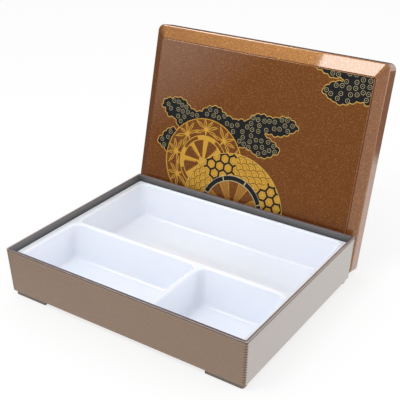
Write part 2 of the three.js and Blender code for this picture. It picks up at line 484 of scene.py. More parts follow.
def flecked_lacquer(ground, fleck, speck):
    """Brown lacquer sprinkled with gold and clear-coated: brown when seen flat on, gold towards the light."""
    material = new_material("gold_flecked_lacquer")
    place_at = add_node(material, "ShaderNodeTexCoord").outputs["Object"]
    # The flecks are a third of a millimetre; they are drawn twice as large so that they show
    cells = add_node(material, "ShaderNodeTexVoronoi", {"Scale": 1 / (0.7 * MM)}, {"Vector": place_at})
    chance = add_node(material, "ShaderNodeSeparateColor", links={"Color": cells.outputs["Color"]})
    spot = add_node(
        material,
        "ShaderNodeMapRange",
        {"From Min": 0.5, "From Max": 0.3},
        {"Value": cells.outputs["Distance"]},
    )
    bright = add_node(material, "ShaderNodeMapRange", {"From Min": 0.62}, {"Value": chance.outputs["Red"]})
    flecks = add_node(
        material,
        "ShaderNodeMath",
        links={0: spot.outputs["Result"], 1: bright.outputs["Result"]},
        operation="MULTIPLY",
    )
    tone = add_node(
        material,
        "ShaderNodeMix",
        {6: rgba(ground), 7: rgba(speck)},
        {0: flecks.outputs["Value"]},
        data_type="RGBA",
    )
    clear = {"Coat Weight": 1.0, "Coat Roughness": 0.045, "Coat IOR": 1.7, "Specular IOR Level": 0.1}
    body = add_node(
        material,
        "ShaderNodeBsdfPrincipled",
        {"Roughness": 0.42, "Metallic": 0.15, **clear},
        {"Base Color": tone.outputs[2]},
    )
    flakes = add_node(
        material,
        "ShaderNodeBsdfPrincipled",
        {"Base Color": rgba(fleck), "Roughness": 0.44, "Metallic": 1.0, **clear},
    )
    share = add_node(
        material, "ShaderNodeMapRange", {"To Min": 0.16, "To Max": 0.6}, {"Value": flecks.outputs["Value"]}
    )
    mix = add_node(
        material,
        "ShaderNodeMixShader",
        links={0: share.outputs["Result"], 1: body.outputs["BSDF"], 2: flakes.outputs["BSDF"]},
    )
    return surface(material, mix)


def bare_plastic(shade):
    """Moulded ABS left bare inside the lid: dark, with a dull even grain."""
    material = new_material("dark_moulded_ABS")
    _, tone = grained(material, shade, 1.0 * MM, 3, 0.85, 1.2)
    shader = add_node(material, "ShaderNodeBsdfPrincipled", {"Roughness": 0.4}, {"Base Color": tone})
    return surface(material, shader)


def printed_ink(name, shade, metallic, roughness, spread):
    """Screen-printed ink with a fine powder grain: gold glints unevenly, black stays even."""
    material = new_material(name)
    _, tone = grained(material, shade, 1.2 * MM, 3, 1 - spread, 1 + spread)
    shader = add_node(
        material,
        "ShaderNodeBsdfPrincipled",
        {"Metallic": metallic, "Roughness": roughness, "Specular IOR Level": 0.3},
        {"Base Color": tone},
    )
    return surface(material, shader)


# Case: one chain of outlines, up the ribbed outside, over the rim and down the inside. A profile's points
# are shares of one rib's or line's height and of its depth
RIB_PROFILE = ((0.0, 1.0), (0.13, 0.4), (0.24, 0.0), (0.5, 0.0), (0.76, 0.0), (0.87, 0.4))
LINE_PROFILE = ((-0.5, 0), (0, 1), (0.6, 1), (1, 0))
# Share of the rim's width, at the ends, that takes the outside's paler end paint, a painted highlight
RIM_STRIP = 0.55
# The case's materials, in the order in which they are added
RIBBED, INSIDE, PALE_PAINTED_LIGHT, RIM_AND_PAINTED_SHADE = range(4)
# How squarely a face points along an axis if it is level or on an end, is on top of the rim, or is on a
# rounded corner
SQUARE, RIM_SQUARE = 0.9, 0.97
CORNER_LEAST, CORNER_MOST = 0.12, 0.8
# Share of a rib, either way from a groove's middle, that lies in the groove. At the corners these faces take
# painted shade
IN_GROOVE = 0.1
# A face that turns towards the middle more than this is on the inside
INWARD = -1e-6


def case_outline(sizes, z, inset, end_inset=None, rounder=0):
    """The case's outline at a height, a distance in from the outside of its leaning long walls and ends."""
    lean = sizes.draft * (CASE_HIGH.z - z) / (CASE_HIGH.z - CASE_LOW.z)
    end_inset = inset if end_inset is None else end_inset
    return Outline(
        half_x=(CASE_HIGH.x - CASE_LOW.x) / 2 - lean - end_inset,
        half_y=(CASE_HIGH.y - CASE_LOW.y) / 2 - lean - inset,
        radius=max(sizes.corner - inset + rounder, LEAST_RADIUS),
        z=z,
        x=CASE_X,
        y=CASE_Y,
    )


def model_case(sizes):
    """Models the case and paints it."""
    base, rim = CASE_LOW.z, CASE_HIGH.z
    floor = base + sizes.floor
    chain = [case_outline(sizes, base + up, inset) for inset, up in round_steps(sizes.base_round)]
    ribs_from = base + sizes.base_round + sizes.rib_pitch / 4
    line = sizes.line
    line_at = rim - sizes.lip - line
    ribs = int((line_at - ribs_from) / sizes.rib_pitch)
    for rib in range(ribs):
        for share, depth in RIB_PROFILE:
            z = ribs_from + (rib + share) * sizes.rib_pitch
            insets = depth * sizes.rib_depth, depth * sizes.end_depth
            chain.append(case_outline(sizes, z, *insets, depth * sizes.notch))
    for up, depth in LINE_PROFILE:
        chain.append(case_outline(sizes, line_at + up * line, depth * line))
    edge = round_steps(sizes.rim_round)
    chain += [case_outline(sizes, rim - up, inset) for inset, up in reversed(edge)]
    chain.append(case_outline(sizes, rim - HAIR, sizes.wall * RIM_STRIP))
    chain += [case_outline(sizes, rim - 2 * HAIR - up, sizes.wall - inset) for inset, up in edge]
    inner = round_steps(sizes.inner_round)
    chain += [case_outline(sizes, floor + up, sizes.wall + inset) for inset, up in reversed(inner)]
    piece = loft("bento_case", chain)
    piece.data.materials.append(bronze_paint("bronze_spray_on_ribbed_ABS", sizes.paint, 0.6, 1.6))
    piece.data.materials.append(grey_inside(sizes.inside))
    piece.data.materials.append(bronze_paint("bronze_spray_painted_paler_as_light", sizes.end_paint_lit_paler, 1.0, 1.9))
    piece.data.materials.append(dull_bronze("dark_brown_rim_and_painted_groove_shade", sizes.rim))
    paint_case(piece, sizes, ribs_from, line_at)
    settle(piece)
    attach(piece, "case")
    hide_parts("case")


def paint_case(piece, sizes, ribs_from, line_at):
    """Gives each face its paint, by where it lies and points. The ends, the lip and the ends' rim strip take
    the paler paint as painted light, and the line under the rim and the grooves at the corners take the rim's
    dark as painted shade.
    """
    rim, line = CASE_HIGH.z, sizes.line
    middle = Vector((CASE_X, CASE_Y, 0))
    for face in piece.data.polygons:
        on_floor = face.normal.z > SQUARE and face.center.z < TRAY_HIGH.z
        inward = on_floor or face.normal.xy.dot((face.center - middle).xy) < INWARD
        on_rim = face.center.z > rim - 3 * HAIR and face.normal.z > RIM_SQUARE
        on_end = abs(face.center.x - CASE_X) > (CASE_HIGH.x - CASE_LOW.x) / 2 - sizes.wall
        above = face.center.z - line_at
        rib = (face.center.z - ribs_from) / sizes.rib_pitch
        on_corner = CORNER_LEAST < abs(face.normal.x) < CORNER_MOST
        # Faces in the grooves at the corners, which take painted shade
        notch = on_corner and abs(rib - round(rib)) < IN_GROOVE and above < -line
        # Painted light: the ends' rim strip, the lip and the ends take the paler copy of the paint
        if on_rim and on_end and face.center.z > rim - HAIR:
            face.material_index = PALE_PAINTED_LIGHT
        # The rim's top is dark, and the same dark in the line under the rim and in the corner grooves is
        # painted shade
        elif on_rim or not inward and (notch or -line / 2 < above < line):
            face.material_index = RIM_AND_PAINTED_SHADE
        elif inward:
            face.material_index = INSIDE
        elif above > 0 or abs(face.normal.x) > SQUARE:
            face.material_index = PALE_PAINTED_LIGHT
        else:
            face.material_index = RIBBED


# Feet: a bar with one round corner, under the corner of the case
def model_foot(node, sizes, material):
    """Models one foot in the box of its node."""
    low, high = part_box(node)
    middle = (low + high) / 2
    corner = Vector((high.x if middle.x > CASE_X else low.x, high.y if middle.y > CASE_Y else low.y))
    piece = open_mesh("bento_" + node)
    bpy.ops.mesh.primitive_cube_add(size=1, location=middle)
    bpy.ops.transform.resize(value=high - low, center_override=middle)
    bpy.context.tool_settings.mesh_select_mode = (False, True, False)
    bpy.ops.mesh.select_all(action="DESELECT")
    bar = bmesh.from_edit_mesh(piece.data)
    for edge in bar.edges:
        edge.select_set(all((vert.co.xy - corner).length < 0.1 * MM for vert in edge.verts))
    bmesh.update_edit_mesh(piece.data)
    bpy.ops.mesh.bevel(offset=sizes.foot_corner, segments=CORNER_SEGMENTS, affect="EDGES")
    close_mesh(piece)
    round_edges(piece, sizes.foot_round, 50)
    piece.data.materials.append(material)
    settle(piece)
    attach(piece, "case")
    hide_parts(node)


# Tray: the sheet that is seen from above, thickened downwards
def tub_chain(sizes, left, right, near, far):
    """One compartment's outlines, from the rounded edge at the rim down to the floor."""
    rim = TRAY_HIGH.z
    floor = TRAY_LOW.z + sizes.skin

    def outline(z, inset, radius):
        """The compartment's outline at a height, a distance in from its leaning walls."""
        end_lean = (rim - z) * math.tan(sizes.end_taper)
        side_lean = (rim - z) * math.tan(sizes.side_taper)
        return Outline(
            half_x=(right - left) / 2 - end_lean - inset,
            half_y=(far - near) / 2 - side_lean - inset,
            radius=radius,
            z=z,
            x=(left + right) / 2,
            y=(near + far) / 2,
        )

    edge = []
    for step in range(ROUND_STEPS * 2 + 1):
        angle = math.pi / 2 * step / (ROUND_STEPS * 2)
        grow = sizes.edge_round * (1 - math.sin(angle))
        z = rim - sizes.edge_round * (1 - math.cos(angle))
        edge.append(outline(z, -grow, sizes.corner + grow))
    fillet = []
    for inset, up in reversed(round_steps(sizes.floor_round)):
        z = floor + up
        fillet.append(outline(z, inset, sizes.corner - inset))
    return edge + fillet


def model_tray(sizes):
    """Models the rim with its three compartments as one sheet, and gives it its thickness."""
    rim = TRAY_HIGH.z
    mouth_left, mouth_right = TRAY_LOW.x + sizes.end_rim, TRAY_HIGH.x - sizes.end_rim
    mouth_near, mouth_far = TRAY_LOW.y + sizes.rim, TRAY_HIGH.y - sizes.rim
    half = sizes.divider / 2
    along = CASE_Y + sizes.long_divider
    across = CASE_X + sizes.short_divider
    mouths = (
        (mouth_left, mouth_right, along + half, mouth_far),
        (mouth_left, across - half, mouth_near, along - half),
        (across + half, mouth_right, mouth_near, along - half),
    )
    piece = open_mesh("bento_tray")
    edge = Outline(
        half_x=(TRAY_HIGH.x - TRAY_LOW.x) / 2,
        half_y=(TRAY_HIGH.y - TRAY_LOW.y) / 2,
        radius=LEAST_RADIUS,
        z=rim,
        x=(TRAY_LOW.x + TRAY_HIGH.x) / 2,
        y=(TRAY_LOW.y + TRAY_HIGH.y) / 2,
    )
    add_ring(edge, 1)
    openings = []
    last = 1
    for mouth in mouths:
        openings.append(last + 1)
        last = bridge_rings(tub_chain(sizes, *mouth), last + 1)
        cap_ring(last)
    select_rings(1, *openings)
    bpy.ops.mesh.fill(use_beauty=True)
    close_mesh(piece)
    # An open sheet may come out turned either way, and its floors have to face up
    lowest = min(piece.data.polygons, key=lambda face: face.center.z)
    if lowest.normal.z < 0:
        piece.data.flip_normals()
    modify(piece, "SOLIDIFY", thickness=sizes.skin, offset=-1, use_even_offset=True)
    round_edges(piece, sizes.outer_round, 60)
    piece.data.materials.append(tray_plastic(sizes.white))
    settle(piece)
    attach(piece, "tray")
    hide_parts("tray")


# Lid: modelled lying flat with its rim at z = 0, then stood up behind the case. The groove round its panel
# is this many depths wide
GROOVE_SPREAD = 3
# Share of the rim's width that is lacquered, and how far down a bare face points at least, or up at most
LACQUERED_RIM = 0.6
DOWN, UP = -0.5, 0.2


def lid_outline(sizes, z, end_inset, side_inset, radius):
    """The lying lid's outline at a height, drawn in from its ends and its long sides."""
    half_x = (LID_HIGH.x - LID_LOW.x) / 2
    return Outline(half_x - end_inset, sizes.width / 2 - side_inset, radius, z)


def stand_up(piece, sizes):
    """Turns a piece that was made on the flat lid to where the lid leans."""
    half = sizes.width / 2
    piece.rotation_euler = (math.pi / 2 - sizes.lean, 0, 0)
    piece.location = (
        (LID_LOW.x + LID_HIGH.x) / 2,
        LID_HIGH.y - half * math.sin(sizes.lean),
        half * math.cos(sizes.lean),
    )


def lid_depth(sizes):
    """From the lid's rim to the top of its panel."""
    return sizes.skirt + sizes.slope_rise + sizes.panel_rise


def model_lid(sizes):
    """Models the lid from the inside out: hollow, rim, skirt, sloped border, groove and panel."""
    end, side, ridge = sizes.end_slope, sizes.side_slope, sizes.ridge_round
    shoulder = sizes.skirt + sizes.slope_rise
    top = lid_depth(sizes)
    inner_corner = sizes.inner_corner
    edge = round_steps(sizes.rim_round)
    chain = [
        lid_outline(sizes, top - sizes.wall, end, side, sizes.panel_corner),
        lid_outline(sizes, sizes.skirt - sizes.wall, sizes.wall, sizes.wall, inner_corner),
    ]
    for inset, up in reversed(edge):
        depth = sizes.wall - inset
        chain.append(lid_outline(sizes, HAIR + up, depth, depth, inner_corner + inset))
    for inset, up in edge:
        chain.append(lid_outline(sizes, up, inset, inset, sizes.corner - inset))
    for step in range(ROUND_STEPS * 2 + 1):
        share = step / (ROUND_STEPS * 2)
        inset = ridge * share**2
        z = sizes.skirt - ridge * (1 - share) ** 2 + inset * sizes.slope_rise / side
        chain.append(lid_outline(sizes, z, inset * end / side, inset, sizes.corner))
    groove = sizes.groove
    width = GROOVE_SPREAD * groove
    slope_end = shoulder - width * sizes.slope_rise / side
    bottom = shoulder - 2 * groove
    for back, z in ((width, slope_end), (width / 2, bottom), (0, bottom + HAIR)):
        chain.append(lid_outline(sizes, z, end - back, side - back, sizes.panel_corner + back))
    for inset, up in reversed(round_steps(sizes.panel_round)):
        chain.append(lid_outline(sizes, top - up, end + inset, side + inset, sizes.panel_corner - inset))
    piece = loft("bento_lid", chain)
    piece.data.materials.append(flecked_lacquer(sizes.lacquer, sizes.fleck, sizes.speck))
    piece.data.materials.append(bare_plastic(sizes.inside))
    strip = sizes.wall * LACQUERED_RIM
    inner = lid_outline(sizes, 0, strip, strip, 0)
    for face in piece.data.polygons:
        across = abs(face.center.x) < inner.half_x and abs(face.center.y) < inner.half_y
        inward = face.normal.xy.dot(face.center.xy) < INWARD or across and face.normal.z < DOWN
        bare = inward and face.normal.z < UP and face.center.z < top - sizes.wall / 2
        face.material_index = int(bare)
    stand_up(piece, sizes)
    settle(piece)
    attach(piece, "lid")
    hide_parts("lid")


# Printed ornament: flat loops in millimetres on the panel, u from the lid's middle and v from its lower edge
WELD_DISTANCE = 0.001
KNIFE_THICKNESS = 4


class Wheel(NamedTuple):
    """A printed wheel's hub and outer radius, in millimetres."""

    u: float
    v: float
    radius: float


class Ink(NamedTuple):
    """An ink's material, and a slot name that the script does not use."""

    material: bpy.types.Material
    slot: str


class Inks(NamedTuple):
    """The inks that the ornament is printed with."""

    gold: Ink
    light: Ink
    pale: Ink
    dull: Ink
    brown: Ink
    black: Ink


def mix_inks(sizes):
    """Makes the inks: four golds, black, and black drawn so thin over gold that it shows brown."""
    return Inks(
        gold=Ink(printed_ink("gold_screen_print", sizes.gold, 0.35, 0.42, 0.16), "gold_print"),
        light=Ink(printed_ink("light_gold_screen_print", sizes.light_gold, 0.3, 0.42, 0.1), "gold_print"),
        pale=Ink(printed_ink("pale_gold_screen_print", sizes.pale_gold, 0.25, 0.42, 0.1), "gold_print"),
        dull=Ink(printed_ink("dull_gold_screen_print", sizes.dull_gold, 0.25, 0.45, 0.12), "gold_print"),
        brown=Ink(printed_ink("thin_black_screen_print", sizes.brown, 0.0, 0.4, 0.1), "black_print"),
        black=Ink(printed_ink("black_screen_print", sizes.black, 0.0, 0.35, 0.1), "black_print"),
    )


def back_wheel(sizes):
    """The wheel on the upper left, partly under the other."""
    return Wheel(sizes.back_u / MM, sizes.back_v / MM, sizes.back_radius / MM)


def front_wheel(sizes):
    """The larger wheel below it, cut off by the panel's lower edge."""
    return Wheel(sizes.front_u / MM, sizes.front_v / MM, sizes.front_radius / MM)


def polar(hub, radius, degrees):
    """A point at a distance and direction from a hub."""
    angle = math.radians(degrees)
    return Vector((hub[0] + radius * math.cos(angle), hub[1] + radius * math.sin(angle)))


def arc(hub, radius, start, end, steps):
    """Points along an arc, both ends included."""
    return [polar(hub, radius, start + (end - start) * step / steps) for step in range(steps + 1)]


def circle(hub, radius, steps):
    """Points round a circle, the first one only once."""
    return arc(hub, radius, 0, 360, steps)[:-1]


def band(hub, inner, outer, start, end, steps):
    """A closed piece of a ring."""
    return arc(hub, outer, start, end, steps) + arc(hub, inner, end, start, steps)


def spin(loops, hub, degrees):
    """The loops turned about a hub."""
    angle = Matrix.Rotation(math.radians(degrees), 2)
    centre = Vector(hub[:2])
    return [[centre + angle @ (point - centre) for point in loop] for loop in loops]


def solid(name, loops, thickness):
    """Fills closed loops, as a closed mesh that stands half above and half below z = 0."""
    bpy.ops.object.select_all(action="DESELECT")
    curve = bpy.data.curves.new(name, "CURVE")
    curve.dimensions = "2D"
    curve.fill_mode = "BOTH"
    curve.extrude = thickness / 2
    for loop in loops:
        spline = curve.splines.new("POLY")
        spline.points.add(len(loop) - 1)
        for point, (u, v) in zip(spline.points, loop):
            point.co = (u, v, 0, 1)
        spline.use_cyclic_u = True
    piece = bpy.data.objects.new(name, curve)
    bpy.context.scene.collection.objects.link(piece)
    piece.select_set(True)
    bpy.context.view_layer.objects.active = piece
    bpy.ops.object.convert(target="MESH")
    piece = bpy.context.object
    bpy.ops.object.mode_set(mode="EDIT")
    bpy.ops.mesh.select_all(action="SELECT")
    bpy.ops.mesh.remove_doubles(threshold=WELD_DISTANCE)
    bpy.ops.mesh.normals_make_consistent(inside=False)
    bpy.ops.object.mode_set(mode="OBJECT")
    return piece


def cut(piece, operation, loops):
    """Takes filled loops away from a piece, or keeps only what lies in them."""
    knife = solid("knife", loops, KNIFE_THICKNESS)
    modify(piece, "BOOLEAN", operation=operation, object=knife, solver="EXACT")
    bpy.data.objects.remove(knife)


def print_on_lid(piece, layer, lid, sizes, ink):
    """Trims a filled shape at the panel's edge, lays it on the lid as a layer of ink and hands it over."""
    half = (LID_HIGH.x - LID_LOW.x) / 2
    side = half - lid.end_slope - sizes.margin
    low, high = lid.side_slope + sizes.margin, lid.width - lid.side_slope - sizes.margin
    limits = (((side, 0), (1, 0)), ((-side, 0), (-1, 0)), ((0, high), (0, 1)), ((0, low), (0, -1)))
    bpy.ops.object.select_all(action="DESELECT")
    piece.select_set(True)
    bpy.context.view_layer.objects.active = piece
    bpy.ops.object.mode_set(mode="EDIT")
    for at, out in limits:
        bpy.ops.mesh.select_all(action="SELECT")
        bpy.ops.mesh.bisect(
            plane_co=(at[0] / MM, at[1] / MM, 0), plane_no=(*out, 0), use_fill=True, clear_outer=True
        )
    bpy.ops.mesh.select_all(action="SELECT")
    rise = (lid_depth(lid) + (layer + 0.5) * sizes.film) / MM
    bpy.ops.transform.translate(value=(0, -lid.width / 2 / MM, rise))
    bpy.ops.object.mode_set(mode="OBJECT")
    piece.data.materials.append(ink.material)
    piece.scale = (MM, MM, MM)
    stand_up(piece, lid)
    bpy.ops.object.transform_apply(location=True, rotation=True, scale=True)
    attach(piece, "lid")


# Clouds: the points mark the lobes and the notches, and the small scallops come from a formula
LEFT_CLOUD = (
    (-114, 131.5), (-110, 137), (-101, 139), (-94, 141), (-85, 139), (-78, 133.5), (-70, 130.5), (-63, 131.5),
    (-57, 136.5), (-50, 139.5), (-41, 140), (-34, 135.5), (-27, 133), (-19, 131), (-12, 132.5), (-5, 132.5),
    (-1, 137), (4, 141), (13, 143), (21, 142), (29, 142.5), (38, 145.5), (47, 144), (53, 139.5), (55, 135.5),
    (50, 132), (44, 128), (36, 125), (30, 124), (24, 125.3), (17.5, 123), (24, 119.5), (31, 116.5),
    (37.5, 111), (38, 107.5), (33, 104.5), (27, 100.5), (20, 98.5), (13, 99), (8, 101.5), (2, 103.5),
    (-5, 104.5), (-10, 102.5), (-22, 96), (-50, 108), (-80, 104), (-88.5, 108.5), (-92, 113), (-97, 118.5),
    (-104, 118.5), (-108, 122), (-109.5, 126), (-114, 128),
)  # fmt: skip
SMALL_CLOUD = (
    (-93, 105.5), (-98, 106), (-103, 103), (-107, 99.5), (-109.5, 95), (-114.5, 90.5), (-113, 86), (-108, 83),
    (-104, 80.5), (-99, 79), (-90, 82), (-86, 96),
)  # fmt: skip
CORNER_CLOUD = (
    (63, 202.5), (71, 199.5), (77, 197), (83, 194.8), (89, 196.2), (95, 195.3), (93, 192.8), (87, 191.3),
    (81.5, 188.5), (77, 184.5), (74.5, 181.5), (76.5, 178), (80.5, 176.3), (84, 173.3), (89, 172.3),
    (92, 170.5), (98, 170.7), (102, 172), (107, 173.5), (112, 175.8), (118, 176.8), (122, 175), (130, 176),
    (132, 190), (130, 207), (90, 209), (64, 207),
)  # fmt: skip
# Each cloud with the side of its line that is outside: 1 where the points run clockwise, else -1
CLOUDS = ((LEFT_CLOUD, 1), (SMALL_CLOUD, -1), (CORNER_CLOUD, -1))
CLOUD_UNDER_WHEEL = 0.5
SPAN_POINTS = 11
SCALLOP_PITCH = 7.4
SCALLOP_DEPTH = 1.6
DOT_PITCH = 5.8
DOT_SEED = 11
DOT_THROWS = 2500
# A ring's outer and inner edge and its dot, as shares of its radius
RING_SHARES = (1, 0.85, 0.17)
# The room that a ring needs in its cloud, as a share of its radius
RING_ROOM = 1.1


def scalloped(points, outward, inset):
    """A smooth closed line through the points with small round scallops, drawn in by a distance."""
    knots = [Vector(point) for point in points]
    line = []
    for at, knot in enumerate(knots):
        before, after, beyond = knots[at - 1], knots[(at + 1) % len(knots)], knots[(at + 2) % len(knots)]
        handles = knot + (after - before) / 6, after - (beyond - knot) / 6
        line += interpolate_bezier(knot, *handles, after, SPAN_POINTS)[:-1]
    gone = [0.0]
    for start, end in zip(line, line[1:] + line[:1]):
        gone.append(gone[-1] + (end - start).length)
    bumps = round(gone[-1] / SCALLOP_PITCH)
    loop = []
    for at, point in enumerate(line):
        along = (line[(at + 1) % len(line)] - line[at - 1]).normalized()
        out = Vector((-along.y, along.x)) * outward
        bump = SCALLOP_DEPTH * abs(math.sin(math.pi * bumps * gone[at] / gone[-1]))
        loop.append(point + out * (bump - inset))
    return loop


def holds(loop, u, v):
    """Whether a point lies inside a closed loop."""
    crossings = 0
    for a, b in zip(loop, loop[1:] + loop[:1]):
        if (a[1] > v) != (b[1] > v) and u < (b[0] - a[0]) * (v - a[1]) / (b[1] - a[1]) + a[0]:
            crossings += 1
    return crossings % 2 == 1


def ring_dots(loop, radius, hidden):
    """Thin rings with a dot in them, strewn over a cloud where its edge and the wheel leave room."""
    chance = random.Random(DOT_SEED)
    us, vs = [point[0] for point in loop], [point[1] for point in loop]
    centres = []
    for _ in range(DOT_THROWS):
        at = (chance.uniform(min(us), max(us)), chance.uniform(min(vs), max(vs)))
        clear = math.dist(at, hidden[:2]) > hidden.radius + radius
        clear = clear and all(math.dist(at, other) > DOT_PITCH for other in centres)
        if clear and all(holds(loop, *point) for point in circle(at, radius * RING_ROOM, 8)):
            centres.append(at)
    return [circle(centre, radius * share, 16) for centre in centres for share in RING_SHARES]


def model_clouds(lid, sizes, inks):
    """Prints the clouds: gold edges, black fields and pale rings, left open where the back wheel lies."""
    wheel = back_wheel(sizes)
    hole = [circle(wheel, wheel.radius - CLOUD_UNDER_WHEEL, 128)]
    thick = sizes.film / MM
    edges = [scalloped(points, side, 0) for points, side in CLOUDS]
    fields = [scalloped(points, side, sizes.outline / MM) for points, side in CLOUDS]
    piece = solid("bento_print_cloud_edges", edges, thick)
    cut(piece, "DIFFERENCE", hole)
    print_on_lid(piece, 0, lid, sizes, inks.light)
    piece = solid("bento_print_clouds", fields, thick)
    cut(piece, "DIFFERENCE", hole)
    print_on_lid(piece, 1, lid, sizes, inks.black)
    dots = [dot for field in fields for dot in ring_dots(field, sizes.dot / MM, wheel)]
    piece = solid("bento_print_cloud_dots", dots, thick)
    print_on_lid(piece, 2, lid, sizes, inks.pale)


# Back wheel: maple leaves between the rim and a felloe of filled and open lengths, and eight spokes
LEAVES = 9
FIRST_LEAF = 52.5
LEAF_RADIUS = 37
# The most that a leaf is twisted, in degrees, and the step that keeps the twists from showing an order
LEAF_TWIST, TWIST_STEP = 5, 4.4
LEAF_NOTCH = 2.3
STEM_HALF = 0.6
STEM_GAP = 0.3
# Leaves reach over each other, so every third one goes on one layer, a little above the layer before
LEAF_LAYERS, LEAF_LAYER_STEP = 3, 0.15
# Each lobe: its direction from straight out, its length, and the share of its full width
LEAF_LOBES = (
    (-107, 16.5, 1), (-70, 16, 1), (-33, 13.5, 1), (18, 12, 1), (63, 17, 1.05), (118, 15, 1),
)  # fmt: skip
# Half widths along a lobe, and where along it the slit for its vein begins, is widest and ends
LOBE_PROFILE = ((0.26, 0.95), (0.5, 1.75), (0.7, 1.4), (0.87, 0.65))
VEIN_SHARES = (0.16, 0.5, 0.9)
VEIN_HALF = 0.8
BACK_RIM = 1.3
BACK_UNDER_FRONT = 0.3
FELLOE_INNER, FELLOE_OUTER = 25.1, 30.5
FELLOE_LINE = 1
FELLOE_FIRST = 66
FELLOE_GAP = 1.5
SPOKES = 8
EIGHTH = 360 / SPOKES
SPOKE_ROOT = 5.5
SPOKE_ROOT_HALF = 1.7
SPOKE_END_HALF = 3.3
SPOKE_SPREAD = 1.6
SPOKE_OVERLAP = 0.4
TEETH = 6
TEETH_FROM = 6
FIRST_TOOTH = 1.5
TOOTH_PITCH = 2.7
TOOTH_LENGTH = 1.4
TOOTH_DEPTH = 2.3


def lobe(node, degrees, length, wide):
    """One pointed lobe of a leaf: up one side, the tip, and down the other."""
    ahead = polar((0, 0), 1, degrees)
    across = Vector((-ahead.y, ahead.x))
    right = [node + ahead * length * share - across * half * wide for share, half in LOBE_PROFILE]
    left = [node + ahead * length * share + across * half * wide for share, half in reversed(LOBE_PROFILE)]
    return right + [node + ahead * length] + left


def leaf(wheel, degrees, twist):
    """A maple leaf with its stem towards the hub, and a slit for the vein of each lobe."""
    node = polar(wheel, LEAF_RADIUS, degrees)
    turned = degrees + twist
    outline = []
    veins = []
    for (here, length, wide), (there, _, _) in zip(LEAF_LOBES, LEAF_LOBES[1:] + ((180, 0, 0),)):
        outline += lobe(node, turned + here, length, wide)
        outline.append(polar(node, LEAF_NOTCH, turned + (here + there) / 2))
        ahead = polar((0, 0), 1, turned + here)
        across = Vector((-ahead.y, ahead.x)) * VEIN_HALF
        root, middle, tip = (node + ahead * length * share for share in VEIN_SHARES)
        veins.append([root, middle - across, tip, middle + across])
    stem = polar((0, 0), 1, degrees + 180)
    across = Vector((-stem.y, stem.x)) * STEM_HALF
    foot = node + stem * (LEAF_RADIUS - FELLOE_OUTER - STEM_GAP)
    outline += [foot - across, foot + across]
    outline.append(polar(node, LEAF_NOTCH, turned + (LEAF_LOBES[0][0] - 180) / 2))
    return [outline, *veins]


def spoke_star(wheel):
    """The hub and its spokes as one loop. Each spoke widens outwards, and all but the top one are notched."""
    hub = Vector(wheel[:2])
    end = FELLOE_INNER + SPOKE_OVERLAP
    loop = []
    for spoke in range(SPOKES):
        ahead = polar((0, 0), 1, spoke * EIGHTH)
        across = Vector((-ahead.y, ahead.x))
        loop.append(hub + ahead * SPOKE_ROOT - across * SPOKE_ROOT_HALF)
        loop.append(hub + ahead * end - across * SPOKE_END_HALF)
        loop.append(hub + ahead * end + across * SPOKE_END_HALF)
        for tooth in range(0 if spoke == SPOKES // 4 else TEETH):
            reach = FELLOE_INNER - FIRST_TOOTH - tooth * TOOTH_PITCH
            half = SPOKE_ROOT_HALF + SPOKE_SPREAD * (reach - TEETH_FROM) / (FELLOE_INNER - TEETH_FROM)
            loop.append(hub + ahead * reach + across * half)
            loop.append(hub + ahead * (reach - TOOTH_LENGTH) + across * (half - TOOTH_DEPTH))
        loop.append(hub + ahead * SPOKE_ROOT + across * SPOKE_ROOT_HALF)
    return loop


def model_back_wheel(lid, sizes, inks):
    """Prints the back wheel, left open where the front wheel lies."""
    wheel = back_wheel(sizes)
    front = front_wheel(sizes)
    thick = sizes.film / MM
    hole = [circle(front, front.radius - BACK_UNDER_FRONT, 128)]
    loops = [circle(wheel, wheel.radius, 128), circle(wheel, wheel.radius - BACK_RIM, 128)]
    loops += [circle(wheel, FELLOE_OUTER, 96), circle(wheel, FELLOE_INNER, 96)]
    inner, outer = FELLOE_INNER + FELLOE_LINE, FELLOE_OUTER - FELLOE_LINE
    for length in range(SPOKES // 2):
        start = FELLOE_FIRST + (2 * length + 1) * EIGHTH
        loops.append(band(wheel, inner, outer, start + FELLOE_GAP, start + EIGHTH - FELLOE_GAP, 16))
    piece = solid("bento_print_back_wheel", loops, 2 * thick)
    cut(piece, "DIFFERENCE", hole)
    print_on_lid(piece, 0.5, lid, sizes, inks.gold)
    for first in range(LEAF_LAYERS):
        leaves = []
        for number in range(first, LEAVES, LEAF_LAYERS):
            twist = LEAF_TWIST * math.sin(TWIST_STEP * number)
            leaves += leaf(wheel, FIRST_LEAF + number * 360 / LEAVES, twist)
        piece = solid(f"bento_print_leaves_{first}", leaves, thick)
        cut(piece, "DIFFERENCE", hole)
        print_on_lid(piece, LEAF_LAYER_STEP * first, lid, sizes, inks.gold)
    piece = solid("bento_print_back_spokes", [spoke_star(wheel)], thick)
    cut(piece, "DIFFERENCE", hole)
    print_on_lid(piece, 0, lid, sizes, inks.gold)


# Front wheel: a broad gold rim with tortoiseshell and wave patterns by turns, a black ring and spokes
RIM_INNER = 38.1
RING_INNER = 33.2
RING_LINE = 0.8
BORDER = 0.7
FRONT_FIRST = 1
FRONT_SPOKE = 23.5
FRONT_HUB = 8.4
# Where the spokes and the lines on them begin, and how far from the ring they and the ticks in it end
SPOKE_FROM, SPOKE_GAP = 9, 0.9
LINE_FROM, LINE_GAP = 9.5, 1.2
TICK_GAP = 0.3
HUB_LINES = (5.5, 4.6)
# Half a spoke, the middle of the line along its edge, half that line and half a tick, in degrees
FRONT_SPOKE_HALF, SPOKE_LINE, SPOKE_LINE_HALF, TICK_HALF = 11, 10.2, 0.7, 1
HEXAGON_AT = (-29.5, 77.5)
HEXAGON_PITCH = 10.7
HEXAGON_LINE = 2.2
HEXAGON_GAP = 0.02
HEXAGON_ROWS, HEXAGON_COLUMNS = range(-3, 4), range(-4, 4)
